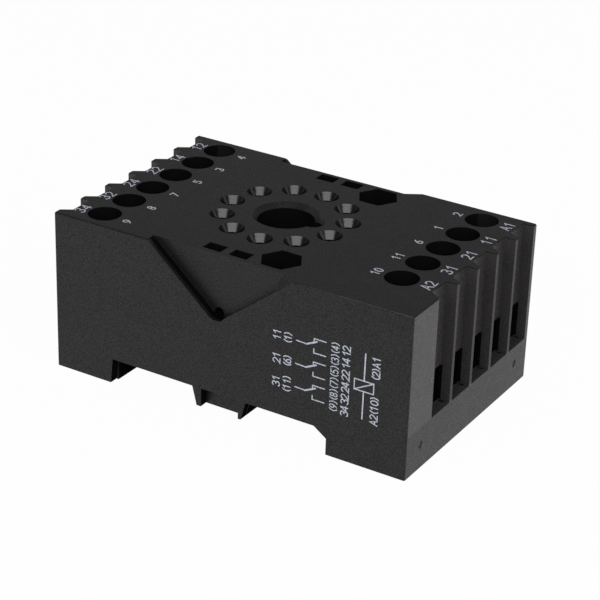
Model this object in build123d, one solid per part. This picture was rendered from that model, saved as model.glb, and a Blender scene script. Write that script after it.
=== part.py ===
from build123d import *
import math
import os

# Eleven-pin plug-in relay socket with screw terminals, for a 35 mm rail or a panel.
# Millimetres. X runs along the body, toward the end with five terminals. Z is up.
# The underside of the two feet is z = 0, and the body is centred on x = 0, y = 0.

# Moulded body
length = 60.8
width = 38.0
height = 25.6
side_wall = 1.35
end_wall = 2.2
corner_radius = 0.25
top_edge_chamfer = 0.2
cut_over = 1.0
hidden_sides = 12

# Underside, as seen on the long side
rail_roof_z = 4.05
left_foot_x = -20.35
left_wall_x = -20.0
right_foot_x = 17.5
right_slope_top_x = 15.4
right_slope_foot_z = 2.6
keel_z = 1.05
keel_left_top_x = -5.5
keel_left_x = -4.7
keel_tooth_left_x = -3.95
keel_tooth_right_x = 2.55
keel_right_x = 3.0
keel_right_top_x = 3.8

# Terminals: six cells fill the width, and the right row leaves out the nearest place
left_row_count = 6
right_row_count = 5
terminal_wall = 1.25
cell_partition = 1.1
cell_width = (width - 2 * terminal_wall - (left_row_count - 1) * cell_partition) / left_row_count
terminal_pitch = cell_width + cell_partition
left_row_inset = 6.54
right_row_inset = 7.35
left_row_x = left_row_inset - length / 2
right_row_x = length / 2 - right_row_inset
left_row_first_y = -(left_row_count - 1) / 2 * terminal_pitch
right_row_first_y = left_row_first_y + terminal_pitch

# Wire channels on the two ends
rib_thickness = 0.7
channel_depth = 1.8
channel_lead = 1.2
ledge_z = 6.8
wire_slot_shoulder = 0.05
wire_slot_width = cell_width - 2 * wire_slot_shoulder
wire_slot_low_z = 7.0
wire_slot_high_z = 12.4
ledge_notch_length = 1.0
ledge_notch_width = 0.4
ledge_notch_depth = 1.2

# Clamp cells inside the body
cell_half_length = 3.4
cell_ceiling_z = 19.0
screw_shelf_z = 19.9
screw_access_over = 0.05
screw_access_radius = cell_width / 2 + screw_access_over

# Contact ring and its keyed bore, a real eleven-pin ring of 19.05 mm
ring_x = -1.74
ring_radius = 19.05 / 2
pin_count = 11
pin_step = 360.0 / pin_count
funnel_radius = 1.95
funnel_depth = 1.2
pin_hole_radius = 1.25
pin_pocket_top_z = 23.3
sleeve_radius = 1.8
sleeve_play = 0.1
pin_pocket_width = 2 * (sleeve_radius + sleeve_play)
bore_radius = 4.3
bore_floor_z = 11.6
bore_chamfer = 0.75
key_width = 2.6
key_reach = 6.0
key_chamfer = 0.5
bore_tube_radius = 7.1
bore_tube_floor = 1.0

# Contact deck, where the contact strips lie
deck_z = 12.4
deck_ceiling_z = 13.5
strip_thickness = 0.8
strip_width = 2.0
strip_end_reach = 2.4
low_strip_z = 9.6
strip_slack = 0.1

# How far from its pin, in X, each strip on the deck turns onto its terminal's row
strip_bend = {1: 5.2, 2: 9.0, 4: -5.8, 5: -3.25, 7: -3.25, 8: -3.3, 9: -7.6, 10: 5.0, 11: 3.1}
# A bend before that one, from the pin, where a strip has to clear its neighbours
strip_detour = {2: (5.0, 1.8), 4: (-2.8, 3.85), 9: (-3.1, -2.85)}
# Strips that pass under others: where they turn and how far before the cells they rise
low_turn_x = 9.8
low_bend_x = 13.4
riser_inset = 3.05

# Panel fixing: a hexagon pocket over a through hole
panel_hole_x = 6.1
panel_hole_inset = 5.2
panel_hole_y = width / 2 - panel_hole_inset
panel_hole_radius = 1.7
hex_across_flats = 5.7
hex_depth = 6.0
panel_boss_radius = 2.8

# Slots for a module or a label carrier
catch_slot_length = 3.1
catch_slot_width = 2.1
catch_slot_depth = 6.0
catch_slot_inset = 3.4
catch_slot_y = width / 2 - catch_slot_inset
catch_slot_offset = 2.22

# Seat of the wire retaining clip on each long side
seat_depth = 1.7
seat_left_top_x = -13.6
seat_left_low_x = -2.55
seat_left_low_z = 16.05
seat_low_left_x = -1.88
seat_low_right_x = -0.76
seat_low_z = 15.9
seat_right_low_x = 0.05
seat_right_low_z = 16.7
seat_right_top_x = 11.4
seat_lean_x = 6.9
seat_lean_top_x = 8.75
pivot_hole_x = -1.98
pivot_hole_top_z = 17.2
pivot_hole_radius = 0.78
pivot_hole_depth = 4.2
pivot_hole_lap = 0.1

# Base
base_gap = 0.1
base_end_x = length / 2 - end_wall
base_left_wall_x = -19.95
base_end_top_z = 6.5
end_wing_half_width = width / 2 - terminal_wall - base_gap
hook_reach = 1.5
hook_low_z = 0.3
hook_tip_z = 1.6
hook_top_z = 2.85
hook_inset = 9.5
hook_centre_y = width / 2 - hook_inset
hook_width = 5.0

# Rail latch, in the right foot
latch_nose_x = 13.9
latch_tail_room = 2.2
latch_tail_x = base_end_x - latch_tail_room
latch_low_z = 0.3
latch_step_z = 1.4
latch_top_z = 2.8
latch_nose_z = 2.2
latch_nose_foot_x = 16.6
latch_wide = 10.6
latch_narrow = 8.2
latch_gap = 0.1
window_width = 3.0
post_inset = 4.4
post_x = base_end_x - post_inset
spring_length = 4.5
window_start_x = post_x - spring_length
post_length = 1.0
post_width = 2.4
post_low_z = 0.6
pry_slot_length = 0.5
pry_slot_x = latch_tail_x - pry_slot_length
pry_slot_width = 3.0
pry_slot_height = 0.8

# Latch spring
spring_radius = 0.85
spring_wire_radius = 0.16
spring_turns = 4

# Contact sleeves
sleeve_top_z = 23.2
sleeve_slit = 0.45
sleeve_slit_low_z = 15.5

# Clamp cage and screw
cage_play = 0.2
cage_wall = 0.6
cage_width = cell_width - 2 * cage_play
cage_window_width = cage_width - 2 * cage_wall
clamp_strip_play = 0.3
clamp_strip_width = cage_window_width - 2 * clamp_strip_play
cage_length = 5.6
cage_low_z = 6.9
cage_floor = 0.9
cage_window_top_z = 13.5
cage_top_z = 15.1
screw_side_play = 0.2
screw_radius = cage_window_width / 2 - screw_side_play
screw_neck_play = 0.25
screw_neck_width = 2 * (screw_radius + screw_neck_play)
screw_play = 0.1
screw_tip_gap = 0.1
head_play = 0.25
head_radius = screw_access_radius - head_play
head_gap = 0.1
head_height = 1.9
recess_length = 3.4
recess_width = 0.7
recess_depth = 0.9

# Ejector marks on the five-terminal end
dimple_radius = 0.6
dimple_depth = 0.2
dimple_inset = 4.2
dimple_y = width / 2 - dimple_inset
dimple_z = 3.9


def pin_angle(pin):
    """Degrees from the keyway to a pin, anticlockwise, seen from above."""
    return (pin - 0.5) * pin_step


def pin_place(pin):
    """Centre of a pin."""
    angle = math.radians(pin_angle(pin))
    return ring_x + ring_radius * math.cos(angle), ring_radius * math.sin(angle)


def is_low(pin):
    """Two strips cross under others, on the lower level."""
    return pin in (3, 6)


def terminal_places():
    """Row axis, y, side of the body and pin of every terminal, each row from the near side."""
    left_row_pins = [9, 8, 7, 5, 3, 4]
    right_row_pins = [10, 11, 6, 1, 2]
    places = []
    for i in range(left_row_count):
        places.append((left_row_x, left_row_first_y + i * terminal_pitch, -1, left_row_pins[i]))
    for i in range(right_row_count):
        places.append((right_row_x, right_row_first_y + i * terminal_pitch, 1, right_row_pins[i]))
    return places


def block(x0, x1, y0, y1, z0, z1):
    """Box between two corners."""
    middle = ((x0 + x1) / 2, (y0 + y1) / 2, (z0 + z1) / 2)
    return Pos(*middle) * Box(abs(x1 - x0), abs(y1 - y0), abs(z1 - z0))


def upright(x, y, z0, z1, radius):
    """Cylinder along Z."""
    return Pos(x, y, (z0 + z1) / 2) * Cylinder(radius, z1 - z0)


def many_sided(x, y, z0, z1, radius, over=False):
    """Many-sided stand-in for a hidden round piece, inside its radius, or past it for a hole."""
    face = Pos(x, y, z0) * RegularPolygon(radius, hidden_sides, major_radius=not over)
    return extrude(face, amount=z1 - z0, dir=(0, 0, 1))


def side_prism(outline, y0, y1):
    """Outline in X and Z, drawn from y0 to y1."""
    face = Plane.XZ.offset(-y0) * make_face(Polyline(*outline, close=True))
    return extrude(face, amount=y1 - y0, dir=(0, 1, 0))


def flat_prism(outline, z0, z1):
    """Outline in X and Y, drawn from z0 to z1."""
    face = Pos(0, 0, z0) * make_face(Polyline(*outline, close=True))
    return extrude(face, amount=z1 - z0, dir=(0, 0, 1))


def wire_channel(y, side):
    """Open groove down the end face, with one slanted side that leads the wire in."""
    front = side * (length / 2 + cut_over)
    mouth = side * length / 2
    floor = side * (length / 2 - channel_depth)
    half = (terminal_pitch - rib_thickness) / 2
    outline = [
        (front, y - half),
        (front, y + half),
        (floor, y + half),
        (floor, y - half + channel_lead),
        (mouth, y - half),
    ]
    return flat_prism(outline, ledge_z, height + cut_over)


def terminal_cell(x, y, side):
    """Clamp pocket, wire slot, screw neck and screw access of one terminal."""
    half = cell_width / 2
    cell = block(x - cell_half_length, x + cell_half_length, y - half, y + half, base_end_top_z, cell_ceiling_z)
    neck = screw_neck_width / 2
    cell += block(x - neck, x + neck, y - neck, y + neck, cell_ceiling_z - cut_over, height)
    cell += upright(x, y, screw_shelf_z, height + cut_over, screw_access_radius)
    slot_half = wire_slot_width / 2
    mouth = side * (length / 2 + cut_over)
    cell += block(x, mouth, y - slot_half, y + slot_half, wire_slot_low_z, wire_slot_high_z)
    notch_far = y + (terminal_pitch - rib_thickness) / 2
    notch_back = side * (length / 2 - channel_depth)
    notch_front = notch_back + side * ledge_notch_length
    cell += block(notch_back, notch_front, notch_far - ledge_notch_width, notch_far,
                  ledge_z - ledge_notch_depth, ledge_z + cut_over)
    return cell


def lead_in(pin):
    """Conical mouth, pin hole and square sleeve pocket of one pin."""
    x, y = pin_place(pin)
    cone_middle = height - funnel_depth / 2
    cone = Pos(x, y, cone_middle) * Cone(pin_hole_radius, funnel_radius, funnel_depth)
    hole = upright(x, y, pin_pocket_top_z - cut_over, height, pin_hole_radius)
    pocket_low_z = deck_ceiling_z - cut_over
    pocket = Box(pin_pocket_width, pin_pocket_width, pin_pocket_top_z - pocket_low_z)
    pocket = Pos(x, y, (pocket_low_z + pin_pocket_top_z) / 2) * Rot(0, 0, pin_angle(pin)) * pocket
    return cone + hole + pocket


def keyed_bore():
    """Bore for the plug's spigot, with its keyway and chamfered mouth."""
    bore = upright(ring_x, 0, bore_floor_z, height + cut_over, bore_radius)
    key_half = key_width / 2
    key = block(ring_x, ring_x + key_reach - key_half, -key_half, key_half, bore_floor_z, height + cut_over)
    key += upright(ring_x + key_reach - key_half, 0, bore_floor_z, height + cut_over, key_half)
    mouth_middle = height - bore_chamfer / 2
    mouth = Pos(ring_x, 0, mouth_middle) * Cone(bore_radius, bore_radius + bore_chamfer, bore_chamfer)
    key_mouth = Pos(ring_x + key_reach - key_half, 0, height - key_chamfer / 2)
    mouth += key_mouth * Cone(key_half, key_half + key_chamfer, key_chamfer)
    return bore + key + mouth


def clip_seat():
    """Three-cornered recess on the near side, with the pivot hole in its lowest corner."""
    outer_y = -width / 2
    floor_y = outer_y + seat_depth
    outline = [
        (seat_left_top_x, height),
        (seat_left_low_x, seat_left_low_z),
        (seat_low_left_x, seat_low_z),
        (seat_low_right_x, seat_low_z),
        (seat_right_low_x, seat_right_low_z),
        (seat_right_top_x, height),
    ]
    seat = side_prism(outline, outer_y, floor_y)

    # The right wall is square, but near the top a three-cornered facet leans out of it
    right_slope = (height - seat_right_low_z) / (seat_right_top_x - seat_right_low_x)
    lean_z = seat_right_low_z + (seat_lean_x - seat_right_low_x) * right_slope
    lean_foot = Vector(seat_lean_x, floor_y, lean_z)
    lean_top = Vector(seat_lean_top_x, floor_y, height)
    lean_corner = Vector(seat_right_top_x, outer_y, height)
    facet_normal = (lean_top - lean_foot).cross(lean_corner - lean_foot)
    facet = Plane(origin=lean_foot, x_dir=lean_top - lean_foot, z_dir=facet_normal)
    lean_outline = [(seat_lean_x, lean_z), (seat_lean_top_x, height), (seat_right_top_x, height)]
    seat -= split(side_prism(lean_outline, outer_y, floor_y), bisect_by=facet, keep=Keep.TOP)

    hole_back = outer_y + pivot_hole_depth
    hole_middle_z = pivot_hole_top_z - pivot_hole_radius
    seat += block(pivot_hole_x - pivot_hole_radius, pivot_hole_x + pivot_hole_radius,
                  floor_y - pivot_hole_lap, hole_back, seat_low_z, hole_middle_z)
    round_top = Rot(90, 0, 0) * Cylinder(pivot_hole_radius, hole_back - floor_y)
    seat += Pos(pivot_hole_x, (floor_y + hole_back) / 2, hole_middle_z) * round_top
    return seat


def side_outline():
    """Outline of the long side, with the rail groove and the two keel teeth."""
    half = length / 2
    return [
        (-half, 0),
        (left_foot_x, 0),
        (left_wall_x, rail_roof_z),
        (keel_left_top_x, rail_roof_z),
        (keel_left_x, keel_z),
        (keel_tooth_left_x, keel_z),
        (keel_tooth_left_x, rail_roof_z),
        (keel_tooth_right_x, rail_roof_z),
        (keel_tooth_right_x, keel_z),
        (keel_right_x, keel_z),
        (keel_right_top_x, rail_roof_z),
        (right_slope_top_x, rail_roof_z),
        (right_foot_x, right_slope_foot_z),
        (right_foot_x, 0),
        (half, 0),
        (half, height),
        (-half, height),
    ]


def make_housing():
    half_width = width / 2
    body = side_prism(side_outline(), -half_width, half_width)
    corners = [e for e in body.edges().filter_by(Axis.Z) if abs(abs(e.center().X) - length / 2) < 0.01]
    body = fillet(corners, corner_radius)
    top_long = [e for e in body.edges().filter_by(Axis.X)
                if abs(e.center().Z - height) < 0.01 and abs(abs(e.center().Y) - half_width) < 0.01]
    body = chamfer(top_long, top_edge_chamfer)

    inner = half_width - side_wall
    cell_left = left_row_x + cell_half_length
    cell_right = right_row_x - cell_half_length
    end_x = base_end_x + base_gap
    end_top_z = base_end_top_z + base_gap
    wing_half = end_wing_half_width + base_gap
    body -= block(-end_x, cell_left, -wing_half, wing_half, -cut_over, end_top_z)
    body -= block(cell_right, end_x, -wing_half, wing_half, -cut_over, end_top_z)
    deck_room = block(cell_left, cell_right, -inner, inner, -cut_over, deck_ceiling_z)
    for sign in (-1, 1):
        deck_room -= upright(panel_hole_x, sign * panel_hole_y, deck_z, deck_ceiling_z, panel_boss_radius)
    tube_low_z = bore_floor_z - bore_tube_floor
    deck_room -= upright(ring_x, 0, tube_low_z, deck_ceiling_z, bore_tube_radius)
    body -= deck_room

    for x, y, side, pin in terminal_places():
        body -= wire_channel(y, side)
        body -= terminal_cell(x, y, side)
    for pin in range(1, pin_count + 1):
        body -= lead_in(pin)
    body -= keyed_bore()

    for sign in (-1, 1):
        y = sign * panel_hole_y
        hexagon = RegularPolygon(hex_across_flats / 2, 6, major_radius=False)
        hexagon = Pos(panel_hole_x, y, height - hex_depth) * hexagon
        body -= extrude(hexagon, amount=hex_depth + cut_over)
        body -= upright(panel_hole_x, y, deck_z - cut_over, height, panel_hole_radius)
        for offset in (-catch_slot_offset, catch_slot_offset):
            x = ring_x + offset
            half_x = catch_slot_length / 2
            half_y = catch_slot_width / 2
            slot_y = sign * catch_slot_y
            body -= block(x - half_x, x + half_x, slot_y - half_y, slot_y + half_y,
                          height - catch_slot_depth, height + cut_over)

    seat = clip_seat()
    body -= seat
    body -= mirror(seat, about=Plane.XZ)
    for sign in (-1, 1):
        dimple = Rot(0, 90, 0) * Cylinder(dimple_radius, 2 * dimple_depth)
        body -= Pos(length / 2, sign * dimple_y, dimple_z) * dimple
    return body


def low_strip_path(x_row, y_row, side, pin):
    """Route of a strip on the lower level, from under its pin to its riser."""
    riser = (x_row - side * (cell_half_length + riser_inset), y_row)
    if side < 0:
        return [pin_place(pin), riser]
    return [pin_place(pin), (low_turn_x, 0), (low_bend_x, y_row), riser]


def high_strip_path(x_row, y_row, side, pin):
    """Route of a strip on the deck, from its pin or riser to its clamp."""
    end = (x_row + side * strip_end_reach, y_row)
    if is_low(pin):
        return [low_strip_path(x_row, y_row, side, pin)[-1], end]
    x, y = pin_place(pin)
    path = [(x, y)]
    if pin in strip_detour:
        step_x, step_y = strip_detour[pin]
        path.append((x + step_x, y + step_y))
    return path + [(x + strip_bend[pin], y_row), end]


def strip(path, z, thickness, strip_size):
    """Flat strip of even width along a path, with eased bends and a square start round its first point."""
    (x0, y0), (x1, y1) = path[:2]
    lead = strip_size / 2 / math.hypot(x1 - x0, y1 - y0)
    points = [(x0 - lead * (x1 - x0), y0 - lead * (y1 - y0))] + path[1:]
    solid = None
    for (x0, y0), (x1, y1) in zip(points[:-1], points[1:]):
        run = math.hypot(x1 - x0, y1 - y0)
        turn = math.degrees(math.atan2(y1 - y0, x1 - x0))
        piece = Rot(0, 0, turn) * Box(run, strip_size, thickness)
        piece = Pos((x0 + x1) / 2, (y0 + y1) / 2, z + thickness / 2) * piece
        solid = piece if solid is None else solid + piece
    for x, y in path[1:-1]:
        solid += many_sided(x, y, z, z + thickness, strip_size / 2, over=True)
    return solid


def make_base():
    inner = width / 2 - side_wall - base_gap
    left_top_x = left_row_x + cell_half_length + base_gap
    right_top_x = right_row_x - cell_half_length - base_gap
    outline = [
        (-base_end_x, 0),
        (base_left_wall_x, 0),
        (base_left_wall_x, rail_roof_z),
        (keel_left_top_x, rail_roof_z),
        (keel_left_x, keel_z),
        (keel_right_x, keel_z),
        (keel_right_top_x, rail_roof_z),
        (right_slope_top_x, rail_roof_z),
        (right_foot_x, right_slope_foot_z),
        (right_foot_x, 0),
        (base_end_x, 0),
        (base_end_x, base_end_top_z),
        (right_top_x, base_end_top_z),
        (right_top_x, deck_z),
        (left_top_x, deck_z),
        (left_top_x, base_end_top_z),
        (-base_end_x, base_end_top_z),
    ]
    base = side_prism(outline, -inner, inner)
    wing = end_wing_half_width
    base += block(-base_end_x, left_top_x - 2 * base_gap, -wing, wing, 0, base_end_top_z)
    base += block(right_top_x + 2 * base_gap, base_end_x, -wing, wing, 0, base_end_top_z)

    hook = [
        (base_left_wall_x - cut_over, hook_low_z),
        (base_left_wall_x, hook_low_z),
        (base_left_wall_x + hook_reach, hook_tip_z),
        (base_left_wall_x + hook_reach, hook_top_z),
        (base_left_wall_x - cut_over, hook_top_z),
    ]
    for sign in (-1, 1):
        middle = sign * hook_centre_y
        base += side_prism(hook, middle - hook_width / 2, middle + hook_width / 2)
        base -= upright(panel_hole_x, sign * panel_hole_y, 0, deck_z + cut_over, panel_hole_radius)

    base -= upright(ring_x, 0, bore_floor_z - bore_tube_floor, deck_z + cut_over, bore_tube_radius + base_gap)
    for x_row, y_row, side, pin in terminal_places():
        if not is_low(pin):
            continue
        path = low_strip_path(x_row, y_row, side, pin)
        base -= strip(path, low_strip_z, deck_z + cut_over - low_strip_z, strip_width + 2 * strip_slack)
        x, y = path[-1]
        base -= many_sided(x, y, low_strip_z, deck_z + cut_over, strip_width / 2 + strip_slack, over=True)

    wide = latch_wide / 2 + latch_gap
    narrow = latch_narrow / 2 + latch_gap
    end = base_end_x + cut_over
    channel = block(latch_nose_x, end, -wide, wide, latch_step_z - latch_gap, latch_top_z + latch_gap)
    channel += block(latch_nose_x, end, -narrow, narrow, -cut_over, latch_top_z)
    post_half = post_width / 2
    channel -= block(post_x, post_x + post_length, -post_half, post_half, post_low_z, latch_top_z + latch_gap)
    base -= channel
    return base


def make_latch():
    """Sliding catch with a sprung nose, a window for its spring and a slot to pry it back."""
    profile = [
        (latch_nose_x, latch_nose_z),
        (latch_nose_foot_x, latch_low_z),
        (latch_tail_x, latch_low_z),
        (latch_tail_x, latch_top_z),
        (latch_nose_x, latch_top_z),
    ]
    half = latch_wide / 2
    narrow = latch_narrow / 2
    latch = side_prism(profile, -half, half)
    shoulder_x = right_foot_x + latch_gap
    for sign in (-1, 1):
        latch -= block(shoulder_x, latch_tail_x + cut_over, sign * narrow, sign * (half + cut_over),
                       -cut_over, latch_step_z)
        latch -= block(latch_nose_x - cut_over, shoulder_x, sign * narrow, sign * (half + cut_over),
                       -cut_over, latch_top_z + cut_over)
    window_end_x = post_x + post_length + latch_gap
    half_window = window_width / 2
    latch -= block(window_start_x, window_end_x, -half_window, half_window, -cut_over, height)
    half_pry = pry_slot_width / 2
    pry_top_z = latch_low_z + pry_slot_height
    latch -= block(pry_slot_x, latch_tail_x + cut_over, -half_pry, half_pry, -cut_over, pry_top_z)
    return latch


def make_spring():
    """Compression spring between the latch window and the base post, its wire drawn square."""
    run = post_x - window_start_x
    coil_run = run - 2 * spring_wire_radius
    coil = Helix(pitch=coil_run / spring_turns, height=coil_run, radius=spring_radius)
    section = Plane(origin=coil @ 0, z_dir=coil % 0) * RegularPolygon(spring_wire_radius, 4)
    spring = sweep(section, path=coil)
    middle_z = (latch_low_z + latch_top_z) / 2
    return Pos(window_start_x + spring_wire_radius, 0, middle_z) * Rot(0, 90, 0) * spring


def make_contact(x_row, y_row, side, pin):
    """Stamped contact: slit sleeve for the pin, and the strip that runs to its clamp."""
    x, y = pin_place(pin)
    sleeve = many_sided(x, y, deck_z, sleeve_top_z, sleeve_radius)
    sleeve -= many_sided(x, y, deck_z + strip_thickness, sleeve_top_z + cut_over, pin_hole_radius, over=True)
    reach = sleeve_radius + cut_over
    half_slit = sleeve_slit / 2
    low = sleeve_slit_low_z
    high = sleeve_top_z + cut_over
    sleeve -= block(x - reach, x + reach, y - half_slit, y + half_slit, low, high)
    sleeve -= block(x - half_slit, x + half_slit, y - reach, y + reach, low, high)
    path = high_strip_path(x_row, y_row, side, pin)
    contact = sleeve + strip(path, deck_z, strip_thickness, strip_width)
    clamp_start = x_row - side * cell_half_length
    clamp_end = x_row + side * strip_end_reach
    half_clamp = clamp_strip_width / 2
    strip_top_z = deck_z + strip_thickness
    contact += block(clamp_start, clamp_end, y_row - half_clamp, y_row + half_clamp, deck_z, strip_top_z)
    if is_low(pin):
        low_path = low_strip_path(x_row, y_row, side, pin)
        contact += strip(low_path, low_strip_z, strip_thickness, strip_width)
        rise_x, rise_y = low_path[-1]
        for leg_x, leg_y in ((x, y), (rise_x, rise_y)):
            contact += many_sided(leg_x, leg_y, low_strip_z, strip_top_z, strip_width / 2, over=True)
    return contact


def make_cage(x, y):
    """Rising clamp: a box frame threaded at its top and open along the wire."""
    half_x = cage_length / 2
    half_y = cage_width / 2
    half_window = cage_window_width / 2
    cage = block(x - half_x, x + half_x, y - half_y, y + half_y, cage_low_z, cage_top_z)
    cage -= block(x - half_x - cut_over, x + half_x + cut_over, y - half_window, y + half_window,
                  cage_low_z + cage_floor, cage_window_top_z)
    hole_radius = screw_radius + screw_play
    cage -= many_sided(x, y, cage_window_top_z - cut_over, cage_top_z + cut_over, hole_radius, over=True)
    return cage


def make_screw(x, y):
    """Captive clamp screw with a crossed driving slot."""
    head_z = screw_shelf_z + head_gap
    head_top_z = head_z + head_height
    screw = upright(x, y, head_z, head_top_z, head_radius)
    screw += many_sided(x, y, deck_z + strip_thickness + screw_tip_gap, head_z, screw_radius)
    half_length = recess_length / 2
    half_width = recess_width / 2
    low = head_top_z - recess_depth
    high = head_top_z + cut_over
    screw -= block(x - half_length, x + half_length, y - half_width, y + half_width, low, high)
    screw -= block(x - half_width, x + half_width, y - half_length, y + half_length, low, high)
    return screw


parts = {
    "housing": make_housing(),
    "base": make_base(),
    "rail_latch": make_latch(),
    "latch_spring": make_spring(),
}
for row_x, row_y, row_side, row_pin in terminal_places():
    parts[f"pin_contact_{row_pin}"] = make_contact(row_x, row_y, row_side, row_pin)
    parts[f"wire_clamp_{row_pin}"] = make_cage(row_x, row_y)
    parts[f"clamp_screw_{row_pin}"] = make_screw(row_x, row_y)

os.makedirs("parts", exist_ok=True)
for name, part in parts.items():
    export_step(part, f"parts/{name}.step")
    print(name, round(part.volume, 2), "mm3", len(part.solids()), "solid")
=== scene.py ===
import math

import bpy
from mathutils import Matrix, Vector


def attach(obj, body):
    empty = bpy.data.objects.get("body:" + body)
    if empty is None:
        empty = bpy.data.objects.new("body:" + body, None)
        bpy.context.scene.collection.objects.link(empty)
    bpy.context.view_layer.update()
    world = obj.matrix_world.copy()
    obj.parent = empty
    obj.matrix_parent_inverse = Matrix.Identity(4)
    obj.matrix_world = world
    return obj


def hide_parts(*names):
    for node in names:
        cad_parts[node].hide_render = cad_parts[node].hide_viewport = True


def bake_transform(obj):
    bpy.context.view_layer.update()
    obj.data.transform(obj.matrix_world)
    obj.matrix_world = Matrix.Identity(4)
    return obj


# Plug-in relay socket with screw terminals. Metres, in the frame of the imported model.

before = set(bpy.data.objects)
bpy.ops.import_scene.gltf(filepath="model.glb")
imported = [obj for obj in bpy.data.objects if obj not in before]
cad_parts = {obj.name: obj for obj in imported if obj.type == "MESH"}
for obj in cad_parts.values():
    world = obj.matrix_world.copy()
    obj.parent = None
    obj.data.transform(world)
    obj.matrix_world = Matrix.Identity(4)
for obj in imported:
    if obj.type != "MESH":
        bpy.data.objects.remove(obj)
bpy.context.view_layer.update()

MM = 0.001

# Body, as the frame has it
TOP_Z = 25.6
HALF_WIDTH = 19.0
PITCH = 6.1
LEFT_FIRST_Y = -15.25
RIGHT_FIRST_Y = -9.15

# Print
PRINT_RISE = 0.012
PRINT_SINK = 0.03
PRINT_STEP = 0.003
PRINT_STEPS = 4
TOP_STROKE = 0.21
SIDE_STROKE = 0.17
ROW_STROKE = 0.145
OUTER_SIZE = 1.62
INNER_SIZE = 1.3
SIDE_SIZE = 1.16
LEFT_OUTER_FEET = 26.75
LEFT_INNER_FEET = 18.85
RIGHT_OUTER_FEET = -28.05
RIGHT_INNER_FEET = -19.7

# Places on the body where shade or light is painted into the colour, or the gloss differs: ranges of X, Y
# and Z in millimetres.
# A range of X or Y that doesn't start below nought holds on both sides of the middle.
POCKETS_HOLES_AND_CELLS = ((0.0, 28.4), (0.0, 17.2), (4.48, 25.52))
CHANNELS = ((28.3, 31.0), (0.0, 18.72), (6.75, 25.45))
SLOT_MOUTHS = ((28.08, 28.92), (0.0, 18.72), (7.0, 12.5))
DIMPLES = ((30.12, 30.38), (14.15, 15.45), (3.25, 4.55))
RIB_ENDS = ((30.37, 31.0), (-11.2, 17.2), (7.05, 25.55))
GROOVE_AND_KEEL = ((-20.4, 17.8), (0.0, 18.97), (-4.3, 4.3))
SEAT_WALLS = ((-13.9, -0.3), (17.34, 19.02), (15.66, 25.54))
NEAR_TOP_EDGE = ((8.0, 31.0), (-19.02, -18.84), (25.44, 25.62))
BASE_SIDE_Y = (17.52, 17.58)
LEAD_IN_Z = (24.3, 25.7)
RIM_Z = (24.78, 25.62)
SEAT_LIGHT_Y = 18.55
SEAT_DARK_Y = 18.2
# Where the painted highlight along the near top edge starts and where it is full, along X
HIGHLIGHT_FROM_X = 8.0
HIGHLIGHT_FULL_X = 20.0

# Upward part of the unit normal on the pin holes' conical mouths and on the bore's chamfer
LEAD_IN_SLOPE = 0.504
LEAD_IN_SPREAD = 0.04
RIM_SLOPE = 0.707
RIM_SPREAD = 0.03

# Painted shade and light, gloss and grain of those places
# Painted shade inside the pockets, holes and cells, and under the body
PAINTED_SHADE_BLACK = (0.0055, 0.005, 0.0055)
SHADOW_BLACK = (0.003, 0.003, 0.003)
# Painted light: the channel walls made lighter than the rest
CHANNEL_PAINTED_LIGHT = (0.044, 0.041, 0.043)
# Painted light in the shallow dimples on the end
DIMPLE_PAINTED_LIGHT = (0.07, 0.067, 0.067)
# Painted highlight along the near top edge
EDGE_PAINTED_HIGHLIGHT = (0.07, 0.066, 0.066)
INSIDE_GLOSS = 0.06
RIB_END_GLOSS = 0.09
SHADOW_GLOSS = 0.04
LEAD_IN_GLOSS = 0.46
LEAD_IN_DULL = 0.12
LEAD_IN_ROUGHNESS = 0.14
LEAD_IN_GRAIN = 0.05

# Level direction toward the photo's camera, and how far a facet's normal points that way where
# the gloss of the pin holes' mouths starts to grow and where it is full
BRIGHT_SIDE = (0.513, -0.858, 0.0)
FACING_DULL = 0.5
FACING_FULL = 0.78

# Range that most of the noise keeps to
NOISE_LOW = 0.3
NOISE_HIGH = 0.7

# Grain of the plastic
GRAIN_SCALE = 5200.0
GRAIN_GLOSS = (0.1, 0.56)
GRAIN_STRENGTH = 0.7
GRAIN_DEPTH = 0.08 * MM
EDGE_RADIUS = 0.04 * MM

# Floor and light
FLOOR_REACH = 3.0
FLOOR_SEEN = 0.975
FLOOR_MIRRORED = 0.5
WORLD_LEVEL = 0.22
LIGHT_AIM_Z = 13.0

# Camera
CAMERA_PLACE = (142.178, -236.044, 147.223)
CAMERA_AZIMUTH = 30.862
CAMERA_ELEVATION = 26.135
CAMERA_ROLL = 1.884
CAMERA_LENS = 121.78
CAMERA_SENSOR = 36.0


def link(obj):
    """Puts a new object in the scene."""
    bpy.context.scene.collection.objects.link(obj)
    return obj


# Materials

def new_material(name):
    """New material, its node tree and its shader, which is linked to the output."""
    material = bpy.data.materials.new(name)
    material.use_nodes = True
    tree = material.node_tree
    tree.nodes.clear()
    output = tree.nodes.new("ShaderNodeOutputMaterial")
    shader = tree.nodes.new("ShaderNodeBsdfPrincipled")
    tree.links.new(shader.outputs["BSDF"], output.inputs["Surface"])
    return material, tree, shader


def noise(tree, scale, detail=2.0, stretch=(1.0, 1.0, 1.0)):
    """Noise in the object's own coordinates, scale in waves a metre."""
    coordinates = tree.nodes.new("ShaderNodeTexCoord")
    mapping = tree.nodes.new("ShaderNodeMapping")
    mapping.inputs["Scale"].default_value = stretch
    texture = tree.nodes.new("ShaderNodeTexNoise")
    texture.inputs["Scale"].default_value = scale
    texture.inputs["Detail"].default_value = detail
    tree.links.new(coordinates.outputs["Object"], mapping.inputs["Vector"])
    tree.links.new(mapping.outputs["Vector"], texture.inputs["Vector"])
    return texture.outputs["Fac"]


def spread(tree, value, low, high):
    """Noise turned to the range from low to high."""
    node = tree.nodes.new("ShaderNodeMapRange")
    node.inputs["From Min"].default_value = NOISE_LOW
    node.inputs["From Max"].default_value = NOISE_HIGH
    node.inputs["To Min"].default_value = low
    node.inputs["To Max"].default_value = high
    tree.links.new(value, node.inputs["Value"])
    return node.outputs["Result"]


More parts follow.
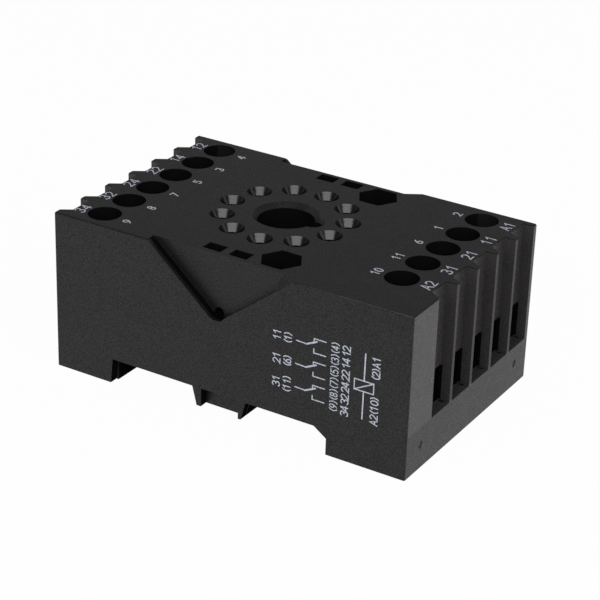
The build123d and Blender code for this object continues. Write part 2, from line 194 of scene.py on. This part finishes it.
def ramp(tree, value, low, high):
    """Noise turned to a colour between low and high."""
    node = tree.nodes.new("ShaderNodeValToRGB")
    node.color_ramp.elements[0].position = NOISE_LOW
    node.color_ramp.elements[0].color = (*low, 1.0)
    node.color_ramp.elements[1].position = NOISE_HIGH
    node.color_ramp.elements[1].color = (*high, 1.0)
    tree.links.new(value, node.inputs["Fac"])
    return node.outputs["Color"]


def bump(tree, shader, height, strength, distance, edge_radius=0.0):
    """Bump on the shader, over softly rounded edges where a radius is given."""
    node = tree.nodes.new("ShaderNodeBump")
    node.inputs["Strength"].default_value = strength
    node.inputs["Distance"].default_value = distance
    tree.links.new(height, node.inputs["Height"])
    if edge_radius:
        edge = tree.nodes.new("ShaderNodeBevel")
        edge.samples = 6
        edge.inputs["Radius"].default_value = edge_radius
        tree.links.new(edge.outputs["Normal"], node.inputs["Normal"])
    tree.links.new(node.outputs["Normal"], shader.inputs["Normal"])
    return node


def object_place(tree):
    """X, Y and Z of a point of the object."""
    coordinates = tree.nodes.new("ShaderNodeTexCoord")
    place = tree.nodes.new("ShaderNodeSeparateXYZ")
    tree.links.new(coordinates.outputs["Object"], place.inputs["Vector"])
    return place.outputs


def face_normal(tree):
    """Unit normal of the face."""
    return tree.nodes.new("ShaderNodeNewGeometry").outputs["True Normal"]


def upward(tree):
    """Upward part of the face's unit normal."""
    parts = tree.nodes.new("ShaderNodeSeparateXYZ")
    tree.links.new(face_normal(tree), parts.inputs["Vector"])
    return parts.outputs["Z"]


def without_sign(tree, value):
    """Value without its sign."""
    node = tree.nodes.new("ShaderNodeMath")
    node.operation = "ABSOLUTE"
    tree.links.new(value, node.inputs[0])
    return node.outputs["Value"]


def near_to(tree, value, middle, half):
    """One where the value is no further than half from the middle, else nought."""
    node = tree.nodes.new("ShaderNodeMath")
    node.operation = "COMPARE"
    node.inputs[1].default_value = middle
    node.inputs[2].default_value = half
    tree.links.new(value, node.inputs[0])
    return node.outputs["Value"]


def in_range(tree, value, low, high):
    """One where the value is in a range given in millimetres, else nought."""
    return near_to(tree, value, (low + high) / 2 * MM, (high - low) / 2 * MM)


def product(tree, first, second):
    """Two values multiplied."""
    node = tree.nodes.new("ShaderNodeMath")
    node.operation = "MULTIPLY"
    tree.links.new(first, node.inputs[0])
    tree.links.new(second, node.inputs[1])
    return node.outputs["Value"]


def in_box(tree, box):
    """One in a box. X and Y count without their sign where their range doesn't start below nought."""
    x, y, z = object_place(tree)
    x_range, y_range, z_range = box
    mask = in_range(tree, z, *z_range)
    for value, (low, high) in ((x, x_range), (y, y_range)):
        if low >= 0:
            value = without_sign(tree, value)
        mask = product(tree, mask, in_range(tree, value, low, high))
    return mask


def fade(tree, value, none, full):
    """Share that grows from nought to one as the value goes from none to full."""
    node = tree.nodes.new("ShaderNodeMapRange")
    node.inputs["From Min"].default_value = none
    node.inputs["From Max"].default_value = full
    tree.links.new(value, node.inputs["Value"])
    return node.outputs["Result"]


def blend(tree, share, first, second):
    """First value, turned into the second where the share is one. Each is a number or comes from a node."""
    node = tree.nodes.new("ShaderNodeMix")
    node.data_type = "FLOAT"
    tree.links.new(share, node.inputs["Factor"])
    for name, value in (("A", first), ("B", second)):
        if isinstance(value, float):
            node.inputs[name].default_value = value
        else:
            tree.links.new(value, node.inputs[name])
    return node.outputs["Result"]


def shaded(tree, share, first, second):
    """First colour, turned into the fixed second where the share is one."""
    node = tree.nodes.new("ShaderNodeMix")
    node.data_type = "RGBA"
    tree.links.new(share, node.inputs["Factor"])
    tree.links.new(first, node.inputs["A"])
    node.inputs["B"].default_value = (*second, 1.0)
    return node.outputs["Result"]


def lead_in_mask(tree):
    """One on the conical mouths of the pin holes, known by their slope and height."""
    sloped = near_to(tree, upward(tree), LEAD_IN_SLOPE, LEAD_IN_SPREAD)
    return product(tree, sloped, in_range(tree, object_place(tree)[2], *LEAD_IN_Z))


def lead_in_gloss(tree):
    """Gloss of the pin holes' mouths: full on the facets that face the photo's camera, dull elsewhere."""
    facing = tree.nodes.new("ShaderNodeVectorMath")
    facing.operation = "DOT_PRODUCT"
    facing.inputs[1].default_value = BRIGHT_SIDE
    tree.links.new(face_normal(tree), facing.inputs[0])
    share = fade(tree, facing.outputs["Value"], FACING_DULL, FACING_FULL)
    return blend(tree, share, LEAD_IN_DULL, LEAD_IN_GLOSS)


def inside_mask(tree):
    """One inside the pockets, holes and cells, which get little light, so shade is painted there, apart
    from the bore's chamfer.
    """
    chamfer = near_to(tree, upward(tree), RIM_SLOPE, RIM_SPREAD)
    rim = product(tree, chamfer, in_range(tree, object_place(tree)[2], *RIM_Z))
    return blend(tree, rim, in_box(tree, POCKETS_HOLES_AND_CELLS), 0.0)


def underside_mask(tree):
    """One in the rail groove and on the keel, where shade is painted, apart from the base's faces along the
    long sides.
    """
    base_side = in_range(tree, without_sign(tree, object_place(tree)[1]), *BASE_SIDE_Y)
    return blend(tree, base_side, in_box(tree, GROOVE_AND_KEEL), 0.0)


def seat_wall_mask(tree):
    """Share of shadow on the steep wall of each clip seat, full in its deeper half."""
    out = without_sign(tree, object_place(tree)[1])
    deeper = fade(tree, out, SEAT_LIGHT_Y * MM, SEAT_DARK_Y * MM)
    return product(tree, in_box(tree, SEAT_WALLS), deeper)


def edge_highlight_mask(tree):
    """Share of the painted highlight, a paler, uneven line along the near top edge, right of the clip seat.
    """
    along = fade(tree, object_place(tree)[0], HIGHLIGHT_FROM_X * MM, HIGHLIGHT_FULL_X * MM)
    broken = spread(tree, noise(tree, scale=700.0, detail=3.0), low=0.25, high=1.0)
    return product(tree, product(tree, along, in_box(tree, NEAR_TOP_EDGE)), broken)


def moulded_plastic(name, dark, light, rough_low, rough_high):
    """Black plastic with the fine grain of its mould, slow changes of sheen and polished lead-ins, and
    shade and light painted into its colour by place.
    """
    material, tree, shader = new_material(name)
    lead_in = lead_in_mask(tree)
    inside = inside_mask(tree)
    slot_mouth = in_box(tree, SLOT_MOUTHS)
    underside = underside_mask(tree)
    seat_wall = seat_wall_mask(tree)
    colour = ramp(tree, noise(tree, scale=260.0, detail=3.0), dark, light)
    # Painted shade inside, under the body, on the clip seats' walls and at the wire slots' mouths; painted
    # light in the channels and dimples; a painted highlight along the near top edge
    for share, tone in (
        (inside, PAINTED_SHADE_BLACK),
        (in_box(tree, CHANNELS), CHANNEL_PAINTED_LIGHT),
        (slot_mouth, SHADOW_BLACK),
        (in_box(tree, DIMPLES), DIMPLE_PAINTED_LIGHT),
        (underside, PAINTED_SHADE_BLACK),
        (seat_wall, SHADOW_BLACK),
        (edge_highlight_mask(tree), EDGE_PAINTED_HIGHLIGHT),
    ):
        colour = shaded(tree, share, colour, tone)
    tree.links.new(colour, shader.inputs["Base Color"])
    sheen = spread(tree, noise(tree, scale=900.0, detail=4.0), rough_low, rough_high)
    tree.links.new(blend(tree, lead_in, sheen, LEAD_IN_ROUGHNESS), shader.inputs["Roughness"])
    grain = noise(tree, GRAIN_SCALE, detail=3.0)
    gloss = spread(tree, grain, *GRAIN_GLOSS)
    # Gloss of the grain, lowered also where shade is painted
    for share, level in (
        (inside, INSIDE_GLOSS),
        (in_box(tree, RIB_ENDS), RIB_END_GLOSS),
        (underside, 0.0),
        (seat_wall, SHADOW_GLOSS),
        (slot_mouth, SHADOW_GLOSS),
        (lead_in, lead_in_gloss(tree)),
    ):
        gloss = blend(tree, share, gloss, level)
    tree.links.new(gloss, shader.inputs["Specular IOR Level"])
    fine = bump(tree, shader, grain, GRAIN_STRENGTH, GRAIN_DEPTH, EDGE_RADIUS)
    tree.links.new(blend(tree, lead_in, GRAIN_STRENGTH, LEAD_IN_GRAIN), fine.inputs["Strength"])
    return material


def plated_metal(name, dark, light, rough_low, rough_high, grain_scale):
    """Plated or stamped metal with a faint drawn grain."""
    material, tree, shader = new_material(name)
    slow = noise(tree, scale=500.0, detail=3.0)
    tree.links.new(ramp(tree, slow, dark, light), shader.inputs["Base Color"])
    rough = noise(tree, scale=1500.0, detail=3.0)
    tree.links.new(spread(tree, rough, rough_low, rough_high), shader.inputs["Roughness"])
    shader.inputs["Metallic"].default_value = 1.0
    grain = noise(tree, grain_scale, stretch=(1.0, 0.15, 1.0))
    bump(tree, shader, grain, strength=0.2, distance=0.02 * MM, edge_radius=0.06 * MM)
    return material


def print_ink(name):
    """Pale bluish ink, a little uneven where the grain shows through."""
    material, tree, shader = new_material(name)
    uneven = noise(tree, scale=4200.0, detail=3.0)
    tree.links.new(ramp(tree, uneven, (0.42, 0.45, 0.52), (0.66, 0.7, 0.8)), shader.inputs["Base Color"])
    shader.inputs["Roughness"].default_value = 0.6
    return material


black = moulded_plastic("moulded_black", (0.0092, 0.0086, 0.009), (0.0122, 0.0115, 0.0118), 0.24, 0.32)
latch_black = moulded_plastic("latch_black", (0.006, 0.006, 0.0064), (0.009, 0.009, 0.0094), 0.36, 0.46)
brass = plated_metal("contact_brass", (0.55, 0.4, 0.18), (0.75, 0.58, 0.3), 0.25, 0.4, 2200.0)
clamp_steel = plated_metal("clamp_steel", (0.2, 0.205, 0.215), (0.3, 0.305, 0.315), 0.35, 0.5, 1800.0)
screw_steel = plated_metal("screw_steel", (0.42, 0.43, 0.45), (0.6, 0.61, 0.63), 0.28, 0.42, 2600.0)
spring_steel = plated_metal("spring_steel", (0.4, 0.4, 0.41), (0.55, 0.55, 0.57), 0.25, 0.35, 3000.0)
ink = print_ink("print_ink")


def material_of(node):
    """Material of a CAD node, by its name."""
    if node in ("housing", "base"):
        return black
    if node == "rail_latch":
        return latch_black
    if node == "latch_spring":
        return spring_steel
    if node.startswith("pin_contact"):
        return brass
    if node.startswith("clamp_screw"):
        return screw_steel
    return clamp_steel


for node_name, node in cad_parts.items():
    node.data.materials.clear()
    node.data.materials.append(material_of(node_name))


def flexing_spring():
    """Copy of the CAD spring in its place, with the CAD one hidden."""
    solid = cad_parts["latch_spring"]
    spring = link(bpy.data.objects.new("flexing_spring", solid.data.copy()))
    spring.matrix_world = solid.matrix_world.copy()
    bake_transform(spring)
    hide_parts("latch_spring")


flexing_spring()


# Print: a plain stroke alphabet, each stroke a flat ribbon. Figures are one unit high, brackets more.

def ring(cx, cy, rx, ry, start, end, steps=14):
    """Points on an ellipse, from one angle to another, in degrees."""
    points = []
    for i in range(steps + 1):
        angle = math.radians(start + (end - start) * i / steps)
        points.append((cx + rx * math.cos(angle), cy + ry * math.sin(angle)))
    return points


GLYPHS = {
    "0": [ring(0.3, 0.5, 0.3, 0.5, 90, 450, 24)],
    "1": [[(0.12, 0.76), (0.38, 1.0), (0.38, 0.0)]],
    "2": [ring(0.3, 0.72, 0.29, 0.28, 165, -25) + [(0.42, 0.42), (0.0, 0.0), (0.62, 0.0)]],
    "3": [ring(0.28, 0.75, 0.27, 0.25, 150, -80), ring(0.28, 0.27, 0.31, 0.27, 85, -150)],
    "4": [[(0.46, 0.0), (0.46, 1.0)], [(0.46, 1.0), (0.0, 0.28), (0.62, 0.28)]],
    "5": [[(0.56, 1.0), (0.1, 1.0), (0.06, 0.56)] + ring(0.28, 0.31, 0.31, 0.31, 125, -145)],
    "6": [[(0.46, 1.0), (0.25, 0.8), (0.09, 0.56), (0.02, 0.36)], ring(0.31, 0.3, 0.29, 0.3, 170, 530, 22)],
    "7": [[(0.0, 1.0), (0.6, 1.0), (0.2, 0.0)]],
    "8": [ring(0.3, 0.75, 0.25, 0.25, 90, 450, 20), ring(0.3, 0.26, 0.3, 0.26, 90, 450, 20)],
    "9": [[(0.14, 0.0), (0.35, 0.2), (0.51, 0.44), (0.58, 0.64)], ring(0.29, 0.7, 0.29, 0.3, 0, 360, 22)],
    "A": [[(0.0, 0.0), (0.33, 1.0), (0.66, 0.0)], [(0.12, 0.34), (0.54, 0.34)]],
    "(": [ring(0.70, 0.5, 0.5, 0.68, 128, 232, 10)],
    ")": [ring(-0.24, 0.5, 0.5, 0.68, 52, -52, 10)],
}
GLYPH_WIDTH = 0.62
ADVANCE = {"(": 0.46, ")": 0.46, " ": 0.36}
PLAIN_ADVANCE = 0.88
DOUBLE_GAP = 1e-4
CLOSED_GAP = 1e-3
SHARPEST_BEND = 0.45
END_TURNS = (80, 55, 28)


def without_repeats(points):
    """Points with near doubles left out."""
    kept = [points[0]]
    for point in points[1:]:
        if math.dist(point, kept[-1]) > DOUBLE_GAP:
            kept.append(point)
    return kept


def ribbon(points, half):
    """Stations (left point, right point) along a stroke, with round ends and mitred bends."""
    points = without_repeats(points)
    closed = math.dist(points[0], points[-1]) < CLOSED_GAP
    headings = []
    for a, b in zip(points[:-1], points[1:]):
        run = math.dist(a, b)
        headings.append(((b[0] - a[0]) / run, (b[1] - a[1]) / run))
    stations = []
    for i, (x, y) in enumerate(points):
        before = headings[i - 1] if i or closed else headings[0]
        after = headings[i] if i < len(headings) else (headings[0] if closed else headings[-1])
        mx, my = before[0] + after[0], before[1] + after[1]
        size = math.hypot(mx, my) or 1.0
        mx, my = mx / size, my / size
        reach = half / max(SHARPEST_BEND, mx * after[0] + my * after[1])
        stations.append(((x - my * reach, y + mx * reach), (x + my * reach, y - mx * reach)))
    if closed:
        return stations
    start, end = [], []
    for turn in END_TURNS:
        along, across = half * math.sin(math.radians(turn)), half * math.cos(math.radians(turn))
        (x, y), (hx, hy) = points[0], headings[0]
        x, y = x - hx * along, y - hy * along
        start.append(((x - hy * across, y + hx * across), (x + hy * across, y - hx * across)))
        (x, y), (hx, hy) = points[-1], headings[-1]
        x, y = x + hx * along, y + hy * along
        end.insert(0, ((x - hy * across, y + hx * across), (x + hy * across, y - hx * across)))
    return start + stations + end


class Print:
    """Strokes gathered on one face of the body, then made into one mesh."""

    def __init__(self, place):
        self.place = place
        self.vertices = []
        self.faces = []
        self.strokes = 0

    def stroke(self, points, width):
        """Adds one stroke, given in millimetres on the face, at another height than the three before it."""
        first = len(self.vertices)
        step = PRINT_STEP * (self.strokes % PRINT_STEPS)
        top, low = PRINT_RISE + step, -PRINT_SINK - step
        self.strokes += 1
        stations = ribbon(points, width / 2)
        for left, right in stations:
            for (u, v), rise in ((left, top), (right, top), (right, low), (left, low)):
                self.vertices.append(self.place(u, v, rise))
        for i in range(len(stations) - 1):
            a, b = first + 4 * i, first + 4 * (i + 1)
            for k in range(4):
                self.faces.append((a + k, a + (k + 1) % 4, b + (k + 1) % 4, b + k))
        last = first + 4 * (len(stations) - 1)
        self.faces.append((first + 3, first + 2, first + 1, first))
        self.faces.append((last, last + 1, last + 2, last + 3))

    def text(self, words, u, v, size, width, spacing=1.0, narrow=1.0):
        """Writes words centred on u, their feet at v, reading along u."""
        steps = [ADVANCE.get(c, PLAIN_ADVANCE) * size * spacing for c in words]
        x = u - sum(steps) / 2
        for letter, step in zip(words, steps):
            across = size if letter in "()" else size * narrow
            inset = 0.0 if letter in "()" else (step - GLYPH_WIDTH * across) / 2
            for points in GLYPHS.get(letter, []):
                self.stroke([(x + inset + px * across, v + py * size) for px, py in points], width)
            x += step

    def finish(self, name):
        """Makes the mesh, and lets it ride with the socket."""
        mesh = bpy.data.meshes.new(name)
        mesh.from_pydata([Vector(p) * MM for p in self.vertices], [], self.faces)
        mesh.validate()
        mesh.update()
        mesh.materials.append(ink)
        piece = link(bpy.data.objects.new(name, mesh))
        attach(piece, "socket_body")
        return piece


def on_top(u, v, rise):
    """Top face: reads along +Y, with the heads of the figures toward -X."""
    return (-v, u, TOP_Z + rise)


def on_near_side(u, v, rise):
    """Near long side: reads along +Z, with the heads of the figures toward -X."""
    return (-v, -HALF_WIDTH - rise, u)


def top_numbers():
    """Numbers of the terminals and of the pins that they join."""
    top = Print(on_top)
    left_outer = ["34", "32", "24", "22", "14", "12"]
    left_inner = ["9", "8", "7", "5", "3", "4"]
    right_inner = ["10", "11", "6", "1", "2"]
    right_outer = ["A2", "31", "21", "11", "A1"]
    for i, (outer, inner) in enumerate(zip(left_outer, left_inner)):
        y = LEFT_FIRST_Y + i * PITCH
        top.text(outer, y - 0.4, LEFT_OUTER_FEET, OUTER_SIZE, TOP_STROKE)
        top.text(inner, y - 0.35, LEFT_INNER_FEET, INNER_SIZE, TOP_STROKE)
    for i, (outer, inner) in enumerate(zip(right_outer, right_inner)):
        y = RIGHT_FIRST_Y + i * PITCH
        top.text(outer, y + 0.1, RIGHT_OUTER_FEET, OUTER_SIZE, TOP_STROKE)
        top.text(inner, y - 0.1, RIGHT_INNER_FEET, INNER_SIZE, TOP_STROKE)
    return top.finish("top_numbers")


def contact(side, u, common, pin):
    """One changeover contact at u: its numbers, its arm and its two fixed contacts."""
    side.text(common, u, -9.5, SIDE_SIZE, SIDE_STROKE, spacing=0.84)
    side.text(pin, u, -11.3, SIDE_SIZE, SIDE_STROKE, spacing=0.83, narrow=0.82)
    side.stroke([(u, -12.1), (u - 0.06, -13.8)], SIDE_STROKE)
    side.stroke([(u - 0.06, -13.8), (u + 0.72, -15.45)], 1.5 * SIDE_STROKE)
    side.stroke([(u + 0.72, -15.0), (u + 1.1, -15.0), (u + 1.1, -16.95)], SIDE_STROKE)
    side.stroke([(u - 0.52, -15.0), (u - 1.14, -15.0), (u - 1.14, -16.95)], SIDE_STROKE)


def coil(side):
    """The coil: a box with a stroke across it, its two leads and their numbers."""
    low, high, head, foot = 12.04, 13.69, -21.7, -24.8
    side.stroke([(high, head), (high, foot), (low, foot), (low, head), (high, head)], SIDE_STROKE)
    side.stroke([(low, head), (high, foot)], SIDE_STROKE)
    side.stroke([(high + 0.06, -23.25), (17.95, -23.3)], 1.2 * SIDE_STROKE)
    side.stroke([(low - 0.06, -23.22), (7.7, -23.17)], 1.2 * SIDE_STROKE)
    side.text("A2(10)", 9.45, -25.6, SIDE_SIZE, SIDE_STROKE, spacing=0.88, narrow=0.9)
    side.text("(2)A1", 16.2, -25.65, SIDE_SIZE, SIDE_STROKE, spacing=0.88, narrow=0.9)


def wiring_diagram():
    """Three changeover contacts and a coil, with the numbers of their pins and terminals."""
    side = Print(on_near_side)
    contact(side, 16.78, "11", "(1)")
    contact(side, 13.1, "21", "(6)")
    contact(side, 9.38, "31", "(11)")
    side.text("(9)(8)(7)(5)(3)(4)", 12.85, -19.05, SIDE_SIZE, ROW_STROKE, spacing=0.88, narrow=0.74)
    side.text("34 32 24 22 14 12", 12.75, -20.85, SIDE_SIZE, SIDE_STROKE, spacing=0.77)
    coil(side)
    return side.finish("wiring_diagram")


top_numbers()
wiring_diagram()


# Floor, backdrop and light

def make_floor():
    """Pale floor that shows almost white to the camera, with a faint shadow, and less so in reflections."""
    mesh = bpy.data.meshes.new("floor")
    corners = [(x * FLOOR_REACH, y * FLOOR_REACH, 0) for x, y in ((-1, -1), (1, -1), (1, 1), (-1, 1))]
    mesh.from_pydata(corners, [], [(0, 1, 2, 3)])
    floor = link(bpy.data.objects.new("floor", mesh))
    material, tree, shader = new_material("floor_pale")
    shader.inputs["Base Color"].default_value = (0.9, 0.9, 0.9, 1.0)
    shader.inputs["Roughness"].default_value = 0.9
    shader.inputs["Specular IOR Level"].default_value = 0.1
    output = next(n for n in tree.nodes if n.type == "OUTPUT_MATERIAL")
    glow = tree.nodes.new("ShaderNodeEmission")
    glow.inputs["Strength"].default_value = 1.0
    path = tree.nodes.new("ShaderNodeLightPath")
    seen = tree.nodes.new("ShaderNodeMath")
    seen.operation = "MULTIPLY"
    seen.inputs[1].default_value = FLOOR_SEEN
    mirrored = tree.nodes.new("ShaderNodeMath")
    mirrored.operation = "MULTIPLY_ADD"
    mirrored.inputs[1].default_value = FLOOR_MIRRORED
    mix = tree.nodes.new("ShaderNodeMixShader")
    tree.links.new(path.outputs["Is Camera Ray"], seen.inputs[0])
    tree.links.new(path.outputs["Is Glossy Ray"], mirrored.inputs[0])
    tree.links.new(seen.outputs["Value"], mirrored.inputs[2])
    tree.links.new(mirrored.outputs["Value"], mix.inputs["Fac"])
    tree.links.new(shader.outputs["BSDF"], mix.inputs[1])
    tree.links.new(glow.outputs["Emission"], mix.inputs[2])
    tree.links.new(mix.outputs["Shader"], output.inputs["Surface"])
    mesh.materials.append(material)


def make_world(level):
    """Even light from all round, white where the camera looks past the floor."""
    world = bpy.data.worlds.new("studio")
    bpy.context.scene.world = world
    world.use_nodes = True
    tree = world.node_tree
    tree.nodes.clear()
    output = tree.nodes.new("ShaderNodeOutputWorld")
    even = tree.nodes.new("ShaderNodeBackground")
    even.inputs["Color"].default_value = (1.0, 1.0, 1.0, 1.0)
    even.inputs["Strength"].default_value = level
    white = tree.nodes.new("ShaderNodeBackground")
    white.inputs["Color"].default_value = (1.0, 1.0, 1.0, 1.0)
    white.inputs["Strength"].default_value = 1.0
    path = tree.nodes.new("ShaderNodeLightPath")
    mix = tree.nodes.new("ShaderNodeMixShader")
    tree.links.new(path.outputs["Is Camera Ray"], mix.inputs["Fac"])
    tree.links.new(even.outputs["Background"], mix.inputs[1])
    tree.links.new(white.outputs["Background"], mix.inputs[2])
    tree.links.new(mix.outputs["Shader"], output.inputs["Surface"])


def soft_box(name, azimuth, elevation, distance, width, height, strength):
    """Rectangular light that faces the socket."""
    light = bpy.data.lights.new(name, "AREA")
    light.shape = "RECTANGLE"
    light.size = width
    light.size_y = height
    light.energy = strength * width * height * math.pi
    a, e = math.radians(azimuth), math.radians(elevation)
    back = Vector((math.sin(a) * math.cos(e), -math.cos(a) * math.cos(e), math.sin(e)))
    lamp = link(bpy.data.objects.new(name, light))
    lamp.location = back * distance + Vector((0, 0, LIGHT_AIM_Z * MM))
    lamp.rotation_mode = "QUATERNION"
    lamp.rotation_quaternion = (-back).to_track_quat("-Z", "Y")


def make_camera():
    """Camera where the photograph was taken from."""
    a, e, r = (math.radians(v) for v in (CAMERA_AZIMUTH, CAMERA_ELEVATION, CAMERA_ROLL))
    back = Vector((math.sin(a) * math.cos(e), -math.cos(a) * math.cos(e), math.sin(e)))
    level_right = Vector((0, 0, 1)).cross(back).normalized()
    level_up = back.cross(level_right)
    right = math.cos(r) * level_right + math.sin(r) * level_up
    up = math.cos(r) * level_up - math.sin(r) * level_right
    data = bpy.data.cameras.new("camera")
    data.sensor_fit = "HORIZONTAL"
    data.sensor_width = CAMERA_SENSOR
    data.lens = CAMERA_LENS
    data.clip_start = 0.01
    data.clip_end = 20.0
    camera = link(bpy.data.objects.new("camera", data))
    turn = Matrix((right, up, back)).transposed().to_4x4()
    camera.matrix_world = Matrix.Translation(Vector(CAMERA_PLACE) * MM) @ turn
    bpy.context.scene.camera = camera


make_floor()
make_world(WORLD_LEVEL)
soft_box("front_wide", azimuth=30.86, elevation=34, distance=0.8, width=1.9, height=0.3, strength=3.6)
soft_box("side_right", azimuth=112, elevation=12, distance=0.9, width=0.7, height=0.5, strength=1.32)
soft_box("left_strip", azimuth=-75, elevation=30, distance=0.9, width=0.16, height=0.5, strength=1.0)
soft_box("top_fill", azimuth=30, elevation=80, distance=1.1, width=0.6, height=0.6, strength=0.25)
make_camera()

bpy.context.scene.view_settings.view_transform = "Standard"
